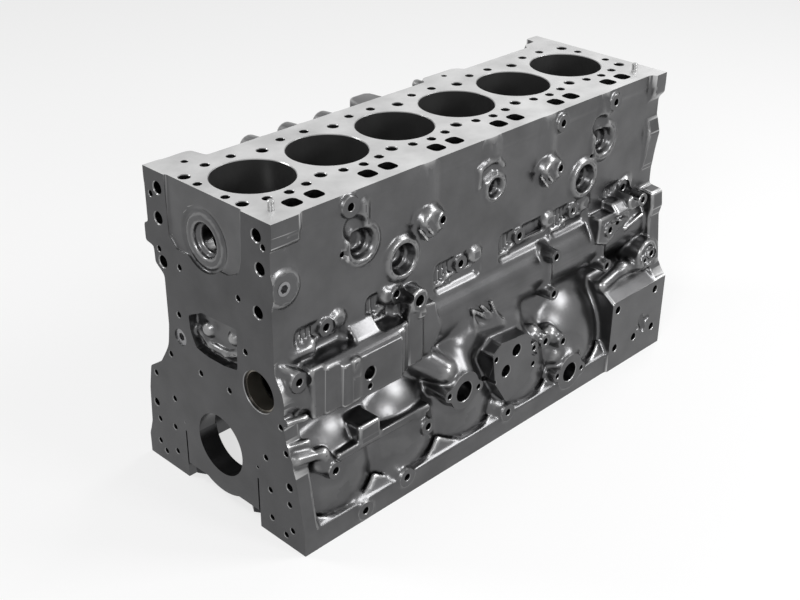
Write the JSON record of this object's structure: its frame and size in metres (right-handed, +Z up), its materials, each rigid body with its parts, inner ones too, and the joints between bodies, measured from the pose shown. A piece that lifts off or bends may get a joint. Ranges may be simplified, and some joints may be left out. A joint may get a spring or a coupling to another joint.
{
  "type": "engine block",
  "caption": "Cast-iron in-line engine block with a row of cylinder bores, bolted main bearing caps, a camshaft tunnel and a flat sump rail that it stands on.",
  "frame": {"origin": "on the crankshaft axis, in the middle of the middle main bearing", "axes": "+X along the crankshaft from the timing end to the flywheel end, +Z up along the cylinder bores, and the camshaft side at -Y"},
  "size_m": [0.756, 0.323, 0.454],
  "materials": {
    "casting": "cast, with machined faces",
    "cap_iron": "cast and machined",
    "bolt_steel": "dark oiled steel",
    "dowel_steel": "ground",
    "plug_steel": "turned",
    "bearing_metal": "bored"
  },
  "bodies": {
    "root": {"camshaft_bush": "bearing_metal", "camshaft_cup_plug": "plug_steel", "cylinder_block": "casting", "gallery_plug_front": "plug_steel", "gallery_plug_rear": "plug_steel", "head_dowel_front": "dowel_steel", "head_dowel_rear": "dowel_steel", "jacket_plug": "plug_steel", "main_bearing_cap_1": "cap_iron", "main_bearing_cap_2": "cap_iron", "main_bearing_cap_3": "cap_iron", "main_bearing_cap_4": "cap_iron", "main_bearing_cap_5": "cap_iron", "main_bearing_cap_6": "cap_iron", "main_bearing_cap_7": "cap_iron", "main_cap_bolts": "bolt_steel"}
  },
  "joints": []
}
